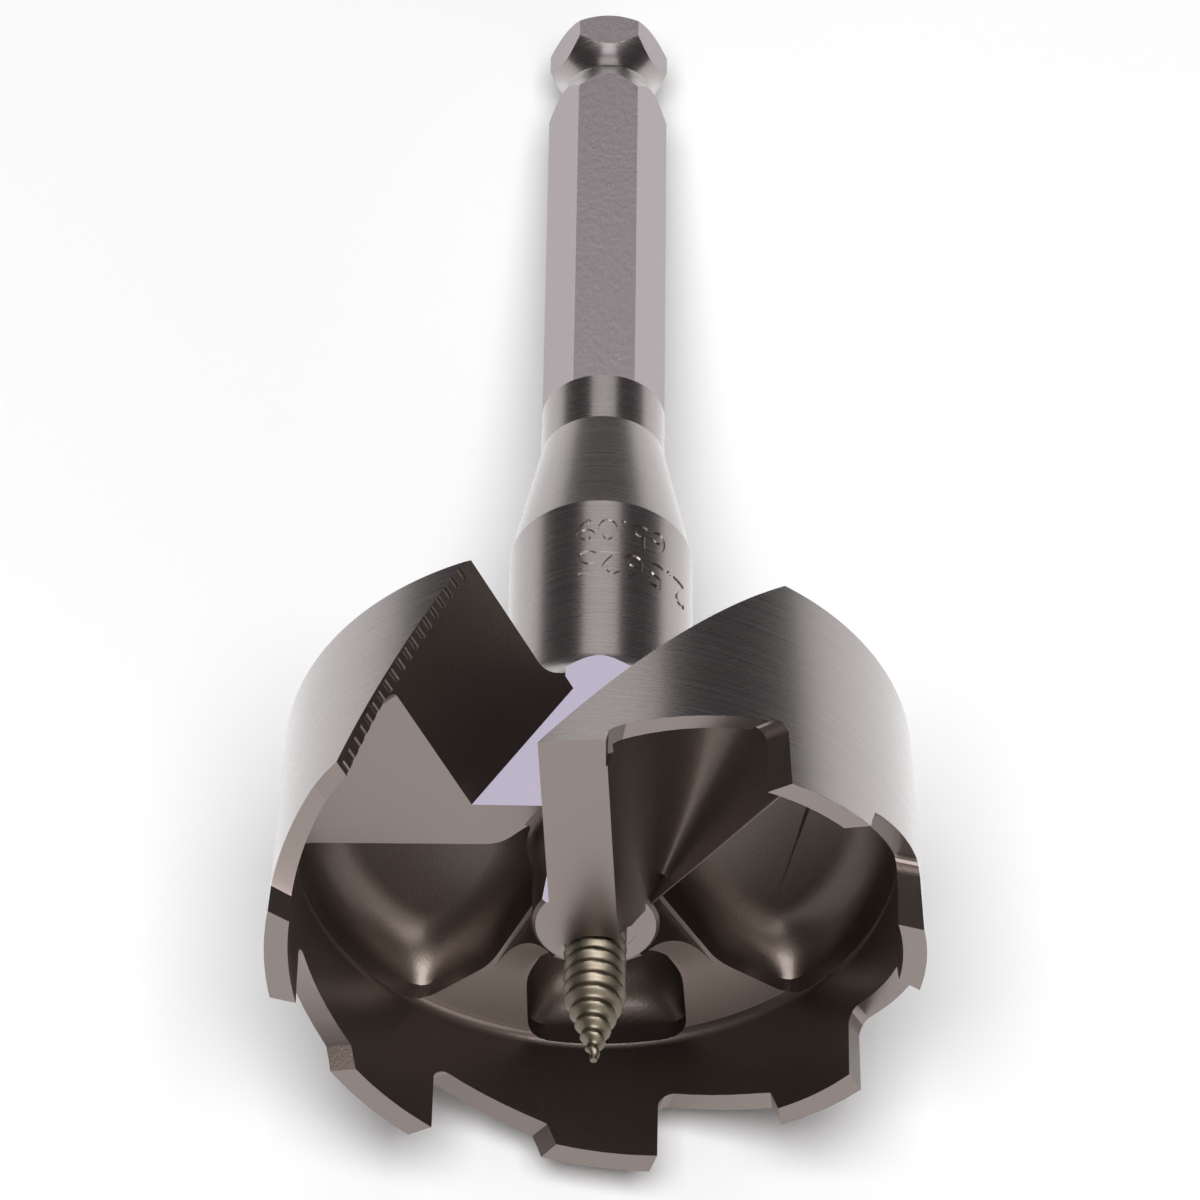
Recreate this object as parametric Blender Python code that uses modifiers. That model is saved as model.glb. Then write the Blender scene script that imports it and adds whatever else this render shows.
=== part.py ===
"""Self-feed wood boring bit, 65 mm, with a 7/16 inch hexagonal shank.

The bit is drawn on its own axis: z = 0 at the tooth tips, the shank towards +z, the chip opening towards -y.
Angles go from -y towards +x. One empty then lays the bit down as it rests on a bench. Sizes are millimetres."""

import math

import bmesh
import bpy
from mathutils import Matrix, Vector

MM = 0.001

# head
HEAD_RADIUS = 32.55
HEAD_TAPER = 1.1
HEAD_HEIGHT = 27.5
WALL = 2.35
FLOOR_LEVEL = 15.6
FLOOR_FILLET = 4.2
TOP_EDGE = 0.5
BOSS_RADIUS = 6.3
BOSS_LEVEL = 5.0
BOSS_EDGE = 0.35
BOSS_FOOT = 1.4

# collar, cone and neck
COLLAR_RADIUS = 9.45
COLLAR_FILLET = 5.6
COLLAR_TOP = 54.3
CONE_TOP = 69.5
NECK_RADIUS = 6.46

# quick change shank
HEX_FLATS = 11.11
HEX_START = 75.6
SHANK_END = 133.4
END_CHAMFER = 1.5
GROOVE_LEVEL = 125.4
GROOVE_RADIUS = 4.95
GROOVE_HALF = 4.2

# teeth round the rim: angles in degrees, levels above the tips
TOOTH_PITCH = 45.0
FIRST_TOOTH = 34.4
TOOTH_COUNT = 6
TOOTH_SKEW = 2.2
LAND_ANGLE = 19.5
LAND_RISE = 1.7
STEP_ANGLE = 1.8
STEP_LEVEL = 4.2
ROOT_LEVEL = 7.8
ROOT_ROUND = 0.9
BLADE_RELIEF = 1.4

# cutter blade and the web behind it
BLADE_EDGE_X = -5.8
BLADE_WIDTH = 6.5
BLADE_SKEW = 0.052
RAKE_LEAN = 0.87
BACK_RUN = 14.5
BLADE_END_RADIUS = 4.2
WEB_START_ANGLE = 66.0
WEB_ANGLE = 37.0
WEB_TIP_LEVEL = 1.5
WEB_CREST = 0.4
WEB_BASE = 13.0
WEB_HEIGHT = 12.0
WEB_ROOT = 4.5
WEB_TAPER = 0.35

# chip opening
HUB_SIDE_Y = -3.35
HUB_SIDE_LEAN = 0.222
WING_POINT_X = -15.2
WING_POINT_Y = -11.7
WING_TURN = 24.8
WING_LEAN = 0.77
HUB_FLAT_X = -3.4
HUB_FLAT_LEVEL = 28.8

# pockets and ribs under the floor
POCKET_DEPTH = 6.0
POCKET_ROUND = 3.6
POCKET_EASE = 4.0
POCKET_STEP = 2.0
POCKET_WALL_STEP = 0.15
POCKET_HUB_LAND = 0.8
LEFT_POCKET_START = -90.6
LEFT_POCKET_HOOK = 30.0
RIGHT_POCKET_START = 57.0
LEFT_RIB = -155.5
RIGHT_RIB = 150.0
RIB_WIDTH = 3.0
RIB_RUN = 15.0
RIB_LEDGE = 0.5
RIB_FLARE = 11.5

# feed screw and its grub screw
SCREW_SHANK_RADIUS = 2.5
SCREW_SHANK_TOP = 43.0
THREAD_RADIUS = 3.1
THREAD_DEPTH = 0.45
THREAD_PITCH = 1.5
THREAD_STRAIGHT = -4.6
SCREW_TIP = -12.3
TIP_RADIUS = 0.35
CLEARANCE = 0.3
GRUB_LEVEL = 38.5
GRUB_RADIUS = 2.7
GRUB_RECESS = 0.6
GRUB_EDGE = 0.35
SOCKET_FLATS = 3.0
SOCKET_DEPTH = 2.2

ROUND_STEPS = 80
HOLE_STEPS = 24
BEND = 1.5


def clear_scene():
    for item in list(bpy.data.objects):
        bpy.data.objects.remove(item, do_unlink=True)


def metal(name, colour, roughness):
    mat = bpy.data.materials.new(name)
    mat.use_nodes = True
    shader = mat.node_tree.nodes["Principled BSDF"]
    shader.inputs["Base Color"].default_value = (*colour, 1.0)
    shader.inputs["Roughness"].default_value = roughness
    shader.inputs["Metallic"].default_value = 1.0
    mat.diffuse_color = (*colour, 1.0)
    return mat


def direction(angle):
    """Unit vector in plan at an angle from -y towards +x."""
    return Vector((math.sin(math.radians(angle)), -math.cos(math.radians(angle)), 0.0))


def polar(radius, angle, z=0.0):
    spot = direction(angle) * radius
    return spot.x, spot.y, z


def head_radius_at(z):
    return HEAD_RADIUS - HEAD_TAPER * z / HEAD_HEIGHT


def add_object(name, mesh, collection, smooth_angle=None):
    """Links a mesh as an object; edges below the angle, in degrees, are shaded round."""
    if smooth_angle:
        mesh.shade_smooth()
        mesh.set_sharp_from_angle(angle=math.radians(smooth_angle))
    item = bpy.data.objects.new(name, mesh)
    collection.objects.link(item)
    return item


def baked_mesh(source, name):
    """The evaluated mesh of a curve or a modified object, welded; the source is removed."""
    bpy.context.view_layer.update()
    graph = bpy.context.evaluated_depsgraph_get()
    mesh = bpy.data.meshes.new_from_object(source.evaluated_get(graph))
    mesh.name = name
    bpy.data.objects.remove(source, do_unlink=True)
    work = bmesh.new()
    work.from_mesh(mesh)
    bmesh.ops.remove_doubles(work, verts=work.verts, dist=1e-6)
    bmesh.ops.dissolve_limit(work, angle_limit=0.001, verts=work.verts, edges=work.edges)
    bmesh.ops.recalc_face_normals(work, faces=work.faces)
    work.to_mesh(mesh)
    work.free()
    return mesh


def turned(name, profile, collection):
    """A profile of (radius, z), from the axis down its outer side and back to the axis, turned round z.
    Half a step of turn brings the middle of a facet, not a corner, to the side that the bit lies on."""
    mesh = bpy.data.meshes.new(name)
    points = [(radius * MM, 0.0, z * MM) for radius, z in profile]
    mesh.from_pydata(points, [(i, i + 1) for i in range(len(points) - 1)], [])
    blank = add_object(name + "_profile", mesh, collection)
    turn = blank.modifiers.new("Turn", "SCREW")
    turn.axis = "Z"
    turn.steps = turn.render_steps = ROUND_STEPS
    turn.use_merge_vertices = True
    turn.merge_threshold = 0.00001
    mesh = baked_mesh(blank, name)
    mesh.transform(Matrix.Rotation(math.pi / ROUND_STEPS, 4, "Z"))
    return add_object(name, mesh, collection, 30.0)


def flat_outline(name, outlines, thickness, collection):
    """A plate from closed outlines of (x, y); an outline inside another one is a hole."""
    curve = bpy.data.curves.new(name, "CURVE")
    curve.dimensions = "2D"
    curve.fill_mode = "BOTH"
    curve.extrude = thickness * MM / 2
    for points in outlines:
        spline = curve.splines.new("POLY")
        spline.points.add(len(points) - 1)
        spline.use_cyclic_u = True
        for point, (x, y) in zip(spline.points, points):
            point.co = (x * MM, y * MM, 0.0, 1.0)
    drawn = bpy.data.objects.new(name + "_outline", curve)
    collection.objects.link(drawn)
    return add_object(name, baked_mesh(drawn, name), collection)


def rod(name, radius, length, collection, steps=HOLE_STEPS):
    """A cylinder round z, centred on its origin; its corners lie on the radius."""
    mesh = bpy.data.meshes.new(name)
    work = bmesh.new()
    bmesh.ops.create_cone(work, cap_ends=True, segments=steps, radius1=radius * MM, radius2=radius * MM,
                          depth=length * MM)
    work.to_mesh(mesh)
    work.free()
    return add_object(name, mesh, collection)


def loft(name, rings, collection, smooth_angle=None):
    """A solid through rings of points, closed by the first and the last ring."""
    work = bmesh.new()
    rows = [[work.verts.new(Vector(point) * MM) for point in ring] for ring in rings]
    count = len(rows[0])
    for low, high in zip(rows, rows[1:]):
        for i in range(count):
            j = (i + 1) % count
            work.faces.new((low[i], low[j], high[j], high[i]))
    work.faces.new(rows[0])
    work.faces.new(rows[-1])
    bmesh.ops.recalc_face_normals(work, faces=work.faces)
    mesh = bpy.data.meshes.new(name)
    work.to_mesh(mesh)
    work.free()
    return add_object(name, mesh, collection, smooth_angle)


def arc(centre_r, centre_z, radius, start, stop, steps):
    """Points (r, z) along an arc, from start to stop in degrees."""
    turns = [math.radians(start + (stop - start) * i / steps) for i in range(steps + 1)]
    return [(centre_r + radius * math.cos(t), centre_z + radius * math.sin(t)) for t in turns]


# body

def shank_profile():
    """The end, the ball groove, the neck and the cone, from the axis down to the collar."""
    deep = NECK_RADIUS - GROOVE_RADIUS
    points = [(0.0, SHANK_END), (NECK_RADIUS - END_CHAMFER, SHANK_END), (NECK_RADIUS, SHANK_END - END_CHAMFER)]
    for reach, depth in ((1.0, 0.0), (0.7, 0.55), (0.3, 0.9), (0.0, 1.0), (-0.22, 0.9), (-1.0, 0.0)):
        points.append((NECK_RADIUS - depth * deep, GROOVE_LEVEL + reach * GROOVE_HALF))
    return points + [(NECK_RADIUS, CONE_TOP), (COLLAR_RADIUS, COLLAR_TOP)]


def head_profile():
    """The collar's fillet, the head's back, the wall, the floor and the boss, to the axis."""
    inner = HEAD_RADIUS - WALL
    points = arc(COLLAR_RADIUS + COLLAR_FILLET, HEAD_HEIGHT + COLLAR_FILLET, COLLAR_FILLET, 180, 270, 6)
    points += [(head_radius_at(HEAD_HEIGHT) - TOP_EDGE, HEAD_HEIGHT),
               (head_radius_at(HEAD_HEIGHT - TOP_EDGE), HEAD_HEIGHT - TOP_EDGE), (HEAD_RADIUS, 0.0), (inner, 0.0)]
    points += arc(inner - FLOOR_FILLET, FLOOR_LEVEL - FLOOR_FILLET, FLOOR_FILLET, 0, 90, 6)
    points += [(BOSS_RADIUS + BOSS_FOOT, FLOOR_LEVEL), (BOSS_RADIUS, FLOOR_LEVEL - BOSS_FOOT),
               (BOSS_RADIUS, BOSS_LEVEL + BOSS_EDGE), (BOSS_RADIUS - BOSS_EDGE, BOSS_LEVEL), (0.0, BOSS_LEVEL)]
    return points


def rim_levels():
    """Angle and level of the cut along the rim, from the blade round to the chip opening."""
    start = math.degrees(math.asin((BLADE_EDGE_X + BLADE_WIDTH) / HEAD_RADIUS))
    face = FIRST_TOOTH
    run = face - start
    pairs = [(start - 0.3, -0.4), (start + 0.3, BLADE_RELIEF)]
    pairs += [(start + run * s, BLADE_RELIEF + (ROOT_LEVEL - BLADE_RELIEF) * s ** 0.85) for s in (0.25, 0.5, 0.75)]
    pairs += [(face - 2 * ROOT_ROUND, ROOT_LEVEL - 0.4), (face - ROOT_ROUND / 2, ROOT_LEVEL - 2 * ROOT_ROUND)]
    for k in range(TOOTH_COUNT):
        face = FIRST_TOOTH + TOOTH_PITCH * k
        heel = face + LAND_ANGLE + STEP_ANGLE
        last = face + TOOTH_PITCH - 3 * ROOT_ROUND
        pairs += [(face, 0.0), (face + LAND_ANGLE, LAND_RISE)]
        pairs += [(heel + (last - heel) * s, STEP_LEVEL + (ROOT_LEVEL - STEP_LEVEL) * s) for s in (0.0, 0.5, 1.0)]
        if k < TOOTH_COUNT - 1:
            pairs += [(face + TOOTH_PITCH - ROOT_ROUND / 2, ROOT_LEVEL - ROOT_ROUND)]
    return pairs + [(last + 6.0, ROOT_LEVEL + 0.4)]


def rim_cut(tools):
    """Everything below the teeth: a band swept round the rim, skewed so that each tooth's face leans.
    The skew grows from nothing beside the blade to its full size at the first tooth."""
    inner, outer = HEAD_RADIUS - WALL - 1.3, HEAD_RADIUS + 3.0
    rings = []
    for angle, z in rim_levels():
        skew = TOOTH_SKEW / WALL * min(1.0, angle / FIRST_TOOTH)
        behind, ahead = angle - skew * (WALL + 1.3), angle + skew * 3.0
        rings.append([polar(inner, behind, -3.0), polar(outer, ahead, -3.0), polar(outer, ahead, z),
                      polar(inner, behind, z)])
    return loft("rim_cut", rings, tools)


def cut_back(mesh, sides):
    """Cuts a closed mesh back to its sides, each a point in millimetres and an outward direction."""
    work = bmesh.new()
    work.from_mesh(mesh)
    for point, outward in sides:
        parts = work.verts[:] + work.edges[:] + work.faces[:]
        bmesh.ops.bisect_plane(work, geom=parts, plane_co=Vector(point) * MM, plane_no=outward.normalized(),
                               clear_outer=True)
        bmesh.ops.holes_fill(work, edges=[edge for edge in work.edges if edge.is_boundary])
    bmesh.ops.recalc_face_normals(work, faces=work.faces)
    work.to_mesh(mesh)
    work.free()


def opening_block(name, left, bottom, sides, tools):
    """A block from a left side and a bottom level, cut back to its leaning sides."""
    right, top = HEAD_RADIUS * 2.2, HEAD_HEIGHT + COLLAR_FILLET + 3.0
    work = bmesh.new()
    bmesh.ops.create_cube(work, size=1.0)
    bmesh.ops.scale(work, vec=((right - left) * MM, 2 * right * MM, (top - bottom) * MM), verts=work.verts)
    bmesh.ops.translate(work, vec=((right + left) / 2 * MM, 0.0, (top + bottom) / 2 * MM), verts=work.verts)
    mesh = bpy.data.meshes.new(name)
    work.to_mesh(mesh)
    work.free()
    cut_back(mesh, sides)
    return add_object(name, mesh, tools)


def chip_opening(tools):
    """The opening between the wing, the blade's rake and the hub, and the hub's flat run out up to the collar."""
    trace = direction(180.0 - WING_TURN)
    inward = Vector((trace.y, -trace.x, -WING_LEAN))
    wing = ((WING_POINT_X, WING_POINT_Y, FLOOR_LEVEL), -inward)
    rake = ((BLADE_EDGE_X, -HEAD_RADIUS, 0.0), Vector((1.0, -BLADE_SKEW, -RAKE_LEAN)))
    hub = ((0.0, HUB_SIDE_Y, BOSS_LEVEL), Vector((0.0, 1.0, HUB_SIDE_LEAN)))
    reach = HEAD_RADIUS * 2.2
    return [opening_block("chip_opening", -reach, -8.0, [wing, rake, hub], tools),
            opening_block("hub_flat", HUB_FLAT_X, HUB_FLAT_LEVEL, [hub], tools)]


def blade(tools):
    """The cutter bar: flat underneath, with a hollow back that sweeps up into the floor and ends in the web."""
    right = BLADE_EDGE_X + BLADE_WIDTH
    deep = FLOOR_LEVEL + 4.0
    left = BLADE_EDGE_X - 0.1
    section = [(left, 0.0)]
    for i in range(8):
        rise = i / 7.0
        section.append((right + BACK_RUN * rise ** BEND, FLOOR_LEVEL * rise))
    section += [(right + BACK_RUN, deep), (left + RAKE_LEAN * deep, deep)]
    length = HEAD_RADIUS - BLADE_END_RADIUS + 2.0
    bar = flat_outline("blade_bar", [section], length, tools)
    middle = HEAD_RADIUS - length / 2
    place = Matrix.Translation(Vector((BLADE_SKEW * (HEAD_RADIUS - middle), -middle, 0.0)) * MM)
    turn = Matrix.Rotation(-math.atan(BLADE_SKEW), 4, "Z") @ Matrix.Rotation(math.pi / 2, 4, "X")
    bar.data.transform(place @ turn)
    start, stop = crest_line()
    cut_back(bar.data, [(start, Vector((start.y - stop.y, stop.x - start.x, 0.0)))])
    return bar


def crest_line():
    """Where the web's crest starts in the boss and ends at the first tooth."""
    start = Vector(polar(BOSS_RADIUS - 1.0, WEB_START_ANGLE, BOSS_LEVEL + BOSS_EDGE))
    return start, Vector(polar(HEAD_RADIUS - WALL, WEB_ANGLE, WEB_TIP_LEVEL))


def web(tools):
    """The hollow ground web whose sharp crest runs from the boss, where it is narrow, to the first tooth."""
    start, stop = crest_line()
    run = stop - start
    section = []
    for side in (1, -1):
        half = [(side * (WEB_CREST / 2 + (WEB_BASE - WEB_CREST) / 2 * (i / 7.0) ** (BEND + 0.3)),
                 WEB_HEIGHT * i / 7.0) for i in range(8)] + [(side * WEB_BASE / 4, WEB_HEIGHT + WEB_ROOT)]
        section += half if side == 1 else half[::-1]
    blank = flat_outline("crest_web", [section], run.length + 1.0, tools)
    for vert in blank.data.vertices:
        if vert.co.z < 0.0:
            vert.co.x *= WEB_TAPER
    along = run.normalized()
    across = along.cross(Vector((0.0, 0.0, 1.0))).normalized()
    upright = along.cross(across)
    if upright.z < 0:
        across, upright = -across, -upright
    place = Matrix((across, upright, across.cross(upright))).transposed()
    blank.rotation_euler = place.to_euler()
    blank.location = (start + stop) / 2 * MM
    return blank


def rib(name, angle, tools):
    """A spoke whose edge sweeps from the boss down to the floor."""
    top = HEAD_HEIGHT - 4.0
    start = BOSS_RADIUS + 0.3
    section = [(start - 2.0, top), (start - 2.0, BOSS_LEVEL + 0.5)]
    for i in range(7):
        share = i / 6.0
        section.append((start + RIB_RUN * share,
                        BOSS_LEVEL + 0.5 + (FLOOR_LEVEL - BOSS_LEVEL - 0.5) * (1.0 - (1.0 - share) ** 2)))
    section.append((start + RIB_RUN, top))
    blank = flat_outline(name, [section], RIB_WIDTH, tools)
    blank.rotation_euler = (math.pi / 2, 0.0, math.radians(angle - 90.0))
    return blank


def rib_side(angle, side):
    """Radius and angle pairs along a rib's side, flaring to a flat triangle at the wall."""
    half = RIB_WIDTH / 2 + RIB_LEDGE
    near, wide, far = BOSS_RADIUS + POCKET_HUB_LAND, BOSS_RADIUS + RIB_RUN, pocket_reach()
    pairs = [(r, angle + side * math.degrees(math.asin(half / r))) for r in (near, wide)]
    return pairs + [(far, angle + side * RIB_FLARE)]


def plain_side(angle, hook=0.0):
    """Radius and angle pairs along a straight side; a hook carries its inner end on round the boss."""
    near = BOSS_RADIUS + POCKET_HUB_LAND
    pairs = [(near, angle + hook), (near + 2.5, angle)] if hook else [(near, angle)]
    return pairs + [(pocket_reach(), angle)]


def pocket_reach():
    return HEAD_RADIUS - WALL - POCKET_WALL_STEP


def eased(points):
    """A closed outline in even steps, its corners worn round by averaging each point with its neighbours."""
    dense = []
    for here, there in zip(points, points[1:] + points[:1]):
        count = max(1, round(math.dist(here, there) / POCKET_STEP))
        dense += [Vector(here).lerp(Vector(there), i / count) for i in range(count)]
    for _ in range(round(2 * (POCKET_EASE / POCKET_STEP) ** 2)):
        dense = [(a + 2 * b + c) / 4 for a, b, c in zip(dense[-1:] + dense[:-1], dense, dense[1:] + dense[:1])]
    return dense


def pocket(name, first, last, tools):
    """A rounded recess pressed into the floor between two sides, given from the boss outwards."""
    outline = list(first)
    span = (last[-1][1] - first[-1][1]) % 360.0
    steps = max(3, round(span / 9.0))
    outline += [(pocket_reach(), first[-1][1] + span * i / steps) for i in range(1, steps)]
    outline += last[::-1]
    span = (last[0][1] - first[0][1]) % 360.0
    steps = max(2, round(span / 18.0))
    outline += [(first[0][0], first[0][1] + span * (steps - i) / steps) for i in range(1, steps)]
    plan = [polar(radius, angle)[:2] for radius, angle in outline]
    height = 2 * POCKET_DEPTH
    recess = flat_outline(name, [eased(plan)], height, tools)
    recess.location = (0.0, 0.0, FLOOR_LEVEL * MM)
    soften = recess.modifiers.new("Round", "BEVEL")
    soften.width = POCKET_ROUND * MM
    soften.segments = 4
    soften.limit_method = "ANGLE"
    soften.angle_limit = math.radians(60)
    return recess


def shank_flats(tools):
    """A sleeve with a hexagonal hole; what it cuts away leaves the shank's flats."""
    length = SHANK_END - HEX_START + 3.0
    corner = HEX_FLATS / math.sqrt(3.0)
    ring = [polar(NECK_RADIUS + 4.0, 15.0 * i)[:2] for i in range(24)]
    hexagon = [polar(corner, 30.0 + 60.0 * i)[:2] for i in range(6)]
    sleeve = flat_outline("shank_flats", [ring, hexagon], length, tools)
    sleeve.location = (0.0, 0.0, (HEX_START + length / 2) * MM)
    return sleeve


# screws

def thread_radius(z, turn):
    """Radius of the feed screw at a level and an angle in degrees: a ridge that winds towards the tip."""
    outer = THREAD_RADIUS
    if z < THREAD_STRAIGHT:
        outer = TIP_RADIUS + (THREAD_RADIUS - TIP_RADIUS) * (z - SCREW_TIP) / (THREAD_STRAIGHT - SCREW_TIP)
    valley = abs(2.0 * ((z / THREAD_PITCH + turn / 360.0) % 1.0) - 1.0)
    fade = min(1.0, max(0.0, (BOSS_LEVEL - 0.8 - z) / THREAD_PITCH), max(0.0, (z - SCREW_TIP) / THREAD_PITCH))
    return outer - THREAD_DEPTH * valley * fade


def feed_screw(bit):
    """The lead screw: a plain shank up the hub's bore, and a tapered thread below the boss."""
    start = BOSS_LEVEL - CLEARANCE
    rows = int((start - SCREW_TIP) / THREAD_PITCH * 6)
    turns = [360.0 * i / HOLE_STEPS for i in range(HOLE_STEPS)]
    rings = [[polar(SCREW_SHANK_RADIUS, turn, z) for turn in turns] for z in (SCREW_SHANK_TOP, start)]
    for k in range(rows + 1):
        z = start + (SCREW_TIP - start) * k / rows
        rings.append([polar(thread_radius(z, turn), turn, z) for turn in turns])
    screw = loft("feed_screw", rings, bit, 40.0)
    screw.data.materials.append(metal("bright_screw_steel", (0.62, 0.58, 0.52), 0.25))
    return screw


def grub_screw(bit, tools):
    """The grub screw that locks the feed screw, set below the collar's surface."""
    inner = SCREW_SHANK_RADIUS + CLEARANCE
    outer = COLLAR_RADIUS - GRUB_RECESS
    screw = rod("set_screw", GRUB_RADIUS, outer - inner, bit)
    screw.rotation_euler = (-math.pi / 2, 0.0, 0.0)
    screw.location = Vector((0.0, (inner + outer) / 2, GRUB_LEVEL)) * MM
    edge = screw.modifiers.new("Edge", "BEVEL")
    edge.width = GRUB_EDGE * MM
    edge.limit_method = "ANGLE"
    socket = rod("grub_socket", SOCKET_FLATS / math.sqrt(3.0), 2 * SOCKET_DEPTH, tools, steps=6)
    socket.rotation_euler = screw.rotation_euler
    socket.location = Vector((0.0, outer, GRUB_LEVEL)) * MM
    boolean(screw, socket, "DIFFERENCE")
    screw.data.materials.append(metal("black_oxide_steel", (0.05, 0.05, 0.05), 0.4))
    return screw, socket


# putting it together

def boolean(target, tool, operation):
    step = target.modifiers.new(operation.title() + " " + tool.name, "BOOLEAN")
    step.operation = operation
    step.object = tool
    step.solver = "EXACT"
    tool.hide_render = True
    tool.display_type = "WIRE"


def holes(tools):
    """The blade's end relief, the feed screw's bore and the grub screw's hole."""
    relief = rod("blade_end", BLADE_END_RADIUS, BOSS_LEVEL + 3.0, tools)
    relief.location = (0.0, 0.0, (BOSS_LEVEL - 3.0) / 2 * MM)
    depth = SCREW_SHANK_TOP + CLEARANCE
    bore = rod("screw_bore", SCREW_SHANK_RADIUS + CLEARANCE, depth, tools)
    bore.location = (0.0, 0.0, depth / 2 * MM)
    reach = COLLAR_RADIUS + 3.0
    hole = rod("grub_hole", GRUB_RADIUS + CLEARANCE, reach, tools)
    hole.rotation_euler = (-math.pi / 2, 0.0, 0.0)
    hole.location = Vector((0.0, reach / 2, GRUB_LEVEL)) * MM
    return [relief, bore, hole]


def body(bit, tools):
    steel = turned("bit_body", shank_profile() + head_profile(), bit)
    steel.data.materials.append(metal("ground_tool_steel", (0.16, 0.15, 0.15), 0.33))
    web_side = plain_side(RIGHT_POCKET_START)
    recesses = [pocket("left_pocket", rib_side(LEFT_RIB, 1), plain_side(LEFT_POCKET_START, LEFT_POCKET_HOOK),
                       tools),
                pocket("far_pocket", rib_side(RIGHT_RIB, 1), rib_side(LEFT_RIB, -1), tools),
                pocket("right_pocket", web_side, rib_side(RIGHT_RIB, -1), tools)]
    core = rod("wall_core", HEAD_RADIUS - WALL / 2, 4 * FLOOR_LEVEL, tools, steps=ROUND_STEPS)
    bar, crest = blade(tools), web(tools)
    for piece in (bar, crest):
        boolean(piece, core, "INTERSECT")
    joined = [rib("left_rib", LEFT_RIB, tools), rib("right_rib", RIGHT_RIB, tools), crest, bar]
    cuts = chip_opening(tools) + [rim_cut(tools)] + holes(tools) + [shank_flats(tools)]
    for recess in recesses:
        boolean(steel, recess, "DIFFERENCE")
    for piece in joined:
        boolean(steel, piece, "UNION")
    for cut in cuts:
        boolean(steel, cut, "DIFFERENCE")
    return steel, recesses + joined + cuts + [core]


def resting_point():
    """Distance from the axis and level of the head's back edge, in the middle of the facet it lies on."""
    edge = HEAD_HEIGHT - TOP_EDGE
    return head_radius_at(edge) * math.cos(math.pi / ROUND_STEPS), edge


def resting_dip():
    """How far the shank dips when the head's back edge and the end of a shank flat touch the bench."""
    reach, edge = resting_point()
    flat_end = SHANK_END - max(0.0, HEX_FLATS / 2 - (NECK_RADIUS - END_CHAMFER))
    return math.atan2(reach - HEX_FLATS / 2, flat_end - edge)


def lay_down(pieces, collection):
    """One empty carries the pieces and lays the axis down, shank away from the front."""
    dip = resting_dip()
    reach, edge = resting_point()
    lift = reach * math.cos(dip) + edge * math.sin(dip)
    far = SHANK_END * math.cos(dip) + (NECK_RADIUS - END_CHAMFER) * math.sin(dip)
    near = SCREW_TIP * math.cos(dip) - TIP_RADIUS * math.sin(dip)
    axis = bpy.data.objects.new("self_feed_bit", None)
    collection.objects.link(axis)
    axis.rotation_euler = (-math.pi / 2 - dip, 0.0, 0.0)
    axis.location = (0.0, -(far + near) / 2 * MM, lift * MM)
    for item in pieces:
        item.parent = axis


def main():
    clear_scene()
    bit = bpy.data.collections.new("self_feed_bit")
    tools = bpy.data.collections.new("cutters")
    bpy.context.scene.collection.children.link(bit)
    bpy.context.scene.collection.children.link(tools)
    steel, steel_tools = body(bit, tools)
    lead = feed_screw(bit)
    grub, socket = grub_screw(bit, tools)
    lay_down([steel, lead, grub, socket] + steel_tools, bit)


main()
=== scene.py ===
"""Looks for the 65 mm self-feed bit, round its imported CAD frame."""

import math

import bmesh
import bpy
from mathutils import Matrix, Vector


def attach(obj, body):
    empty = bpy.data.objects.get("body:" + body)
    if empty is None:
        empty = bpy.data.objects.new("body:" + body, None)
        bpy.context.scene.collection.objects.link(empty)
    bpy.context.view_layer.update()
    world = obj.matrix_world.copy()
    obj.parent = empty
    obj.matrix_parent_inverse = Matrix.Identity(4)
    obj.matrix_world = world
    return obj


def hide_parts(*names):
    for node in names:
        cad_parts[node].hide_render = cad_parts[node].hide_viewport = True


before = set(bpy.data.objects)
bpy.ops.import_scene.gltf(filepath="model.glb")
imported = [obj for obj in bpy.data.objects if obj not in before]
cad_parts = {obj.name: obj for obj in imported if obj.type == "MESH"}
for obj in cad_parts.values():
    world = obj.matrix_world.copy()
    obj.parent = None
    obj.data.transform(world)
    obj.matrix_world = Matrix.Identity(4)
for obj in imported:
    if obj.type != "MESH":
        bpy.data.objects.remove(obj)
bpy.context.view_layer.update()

MM = 0.001

# The bit lies on its head's back edge and its shank's end, so its axis dips away from the camera.
DIP = math.radians(13.7502)
LIFT = 36.9622
BACK = 59.3626


def place():
    """Matrix from the bit's own axes, in millimetres, to the row's frame."""
    return (Matrix.Translation((0.0, -BACK * MM, LIFT * MM)) @ Matrix.Rotation(-math.pi / 2 - DIP, 4, "X")
            @ Matrix.Scale(MM, 4))


PLACE = place()


# sizes of the bit, in millimetres on its own axes: z = 0 at the teeth, the shank towards +z, the opening at -y
HEAD_RADIUS = 32.525
HEAD_TAPER = 1.1
HEAD_HEIGHT = 27.5
WALL = 2.35
FLOOR_LEVEL = 15.6
FLOOR_FILLET = 1.2
BOSS_RADIUS = 6.3
BOSS_LEVEL = 5.0
COLLAR_RADIUS = 9.45
COLLAR_FILLET = 5.6
COLLAR_TOP = 54.3
CONE_TOP = 69.5
NECK_RADIUS = 6.46
HEX_FLATS = 11.11
HEX_START = 75.6
SHANK_END = 133.4
END_CHAMFER = 1.5
GROOVE_LEVEL = 125.4
GROOVE_RADIUS = 4.95
GROOVE_HALF = 4.2
TOOTH_PITCH = 45.0
FIRST_TOOTH = 34.4
TOOTH_COUNT = 6
TOOTH_SKEW = 2.2
LAND_ANGLE = 19.5
LAND_RISE = 1.7
STEP_ANGLE = 1.8
STEP_LEVEL = 4.2
ROOT_LEVEL = 7.8
BLADE_EDGE_X = -5.8
BLADE_WIDTH = 6.5
BLADE_SKEW = 0.052
RAKE_LEAN = 0.87
BACK_RUN = 14.5
BLADE_END_RADIUS = 4.2
WEB_START_ANGLE = 66.0
WEB_ANGLE = 37.0
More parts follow.
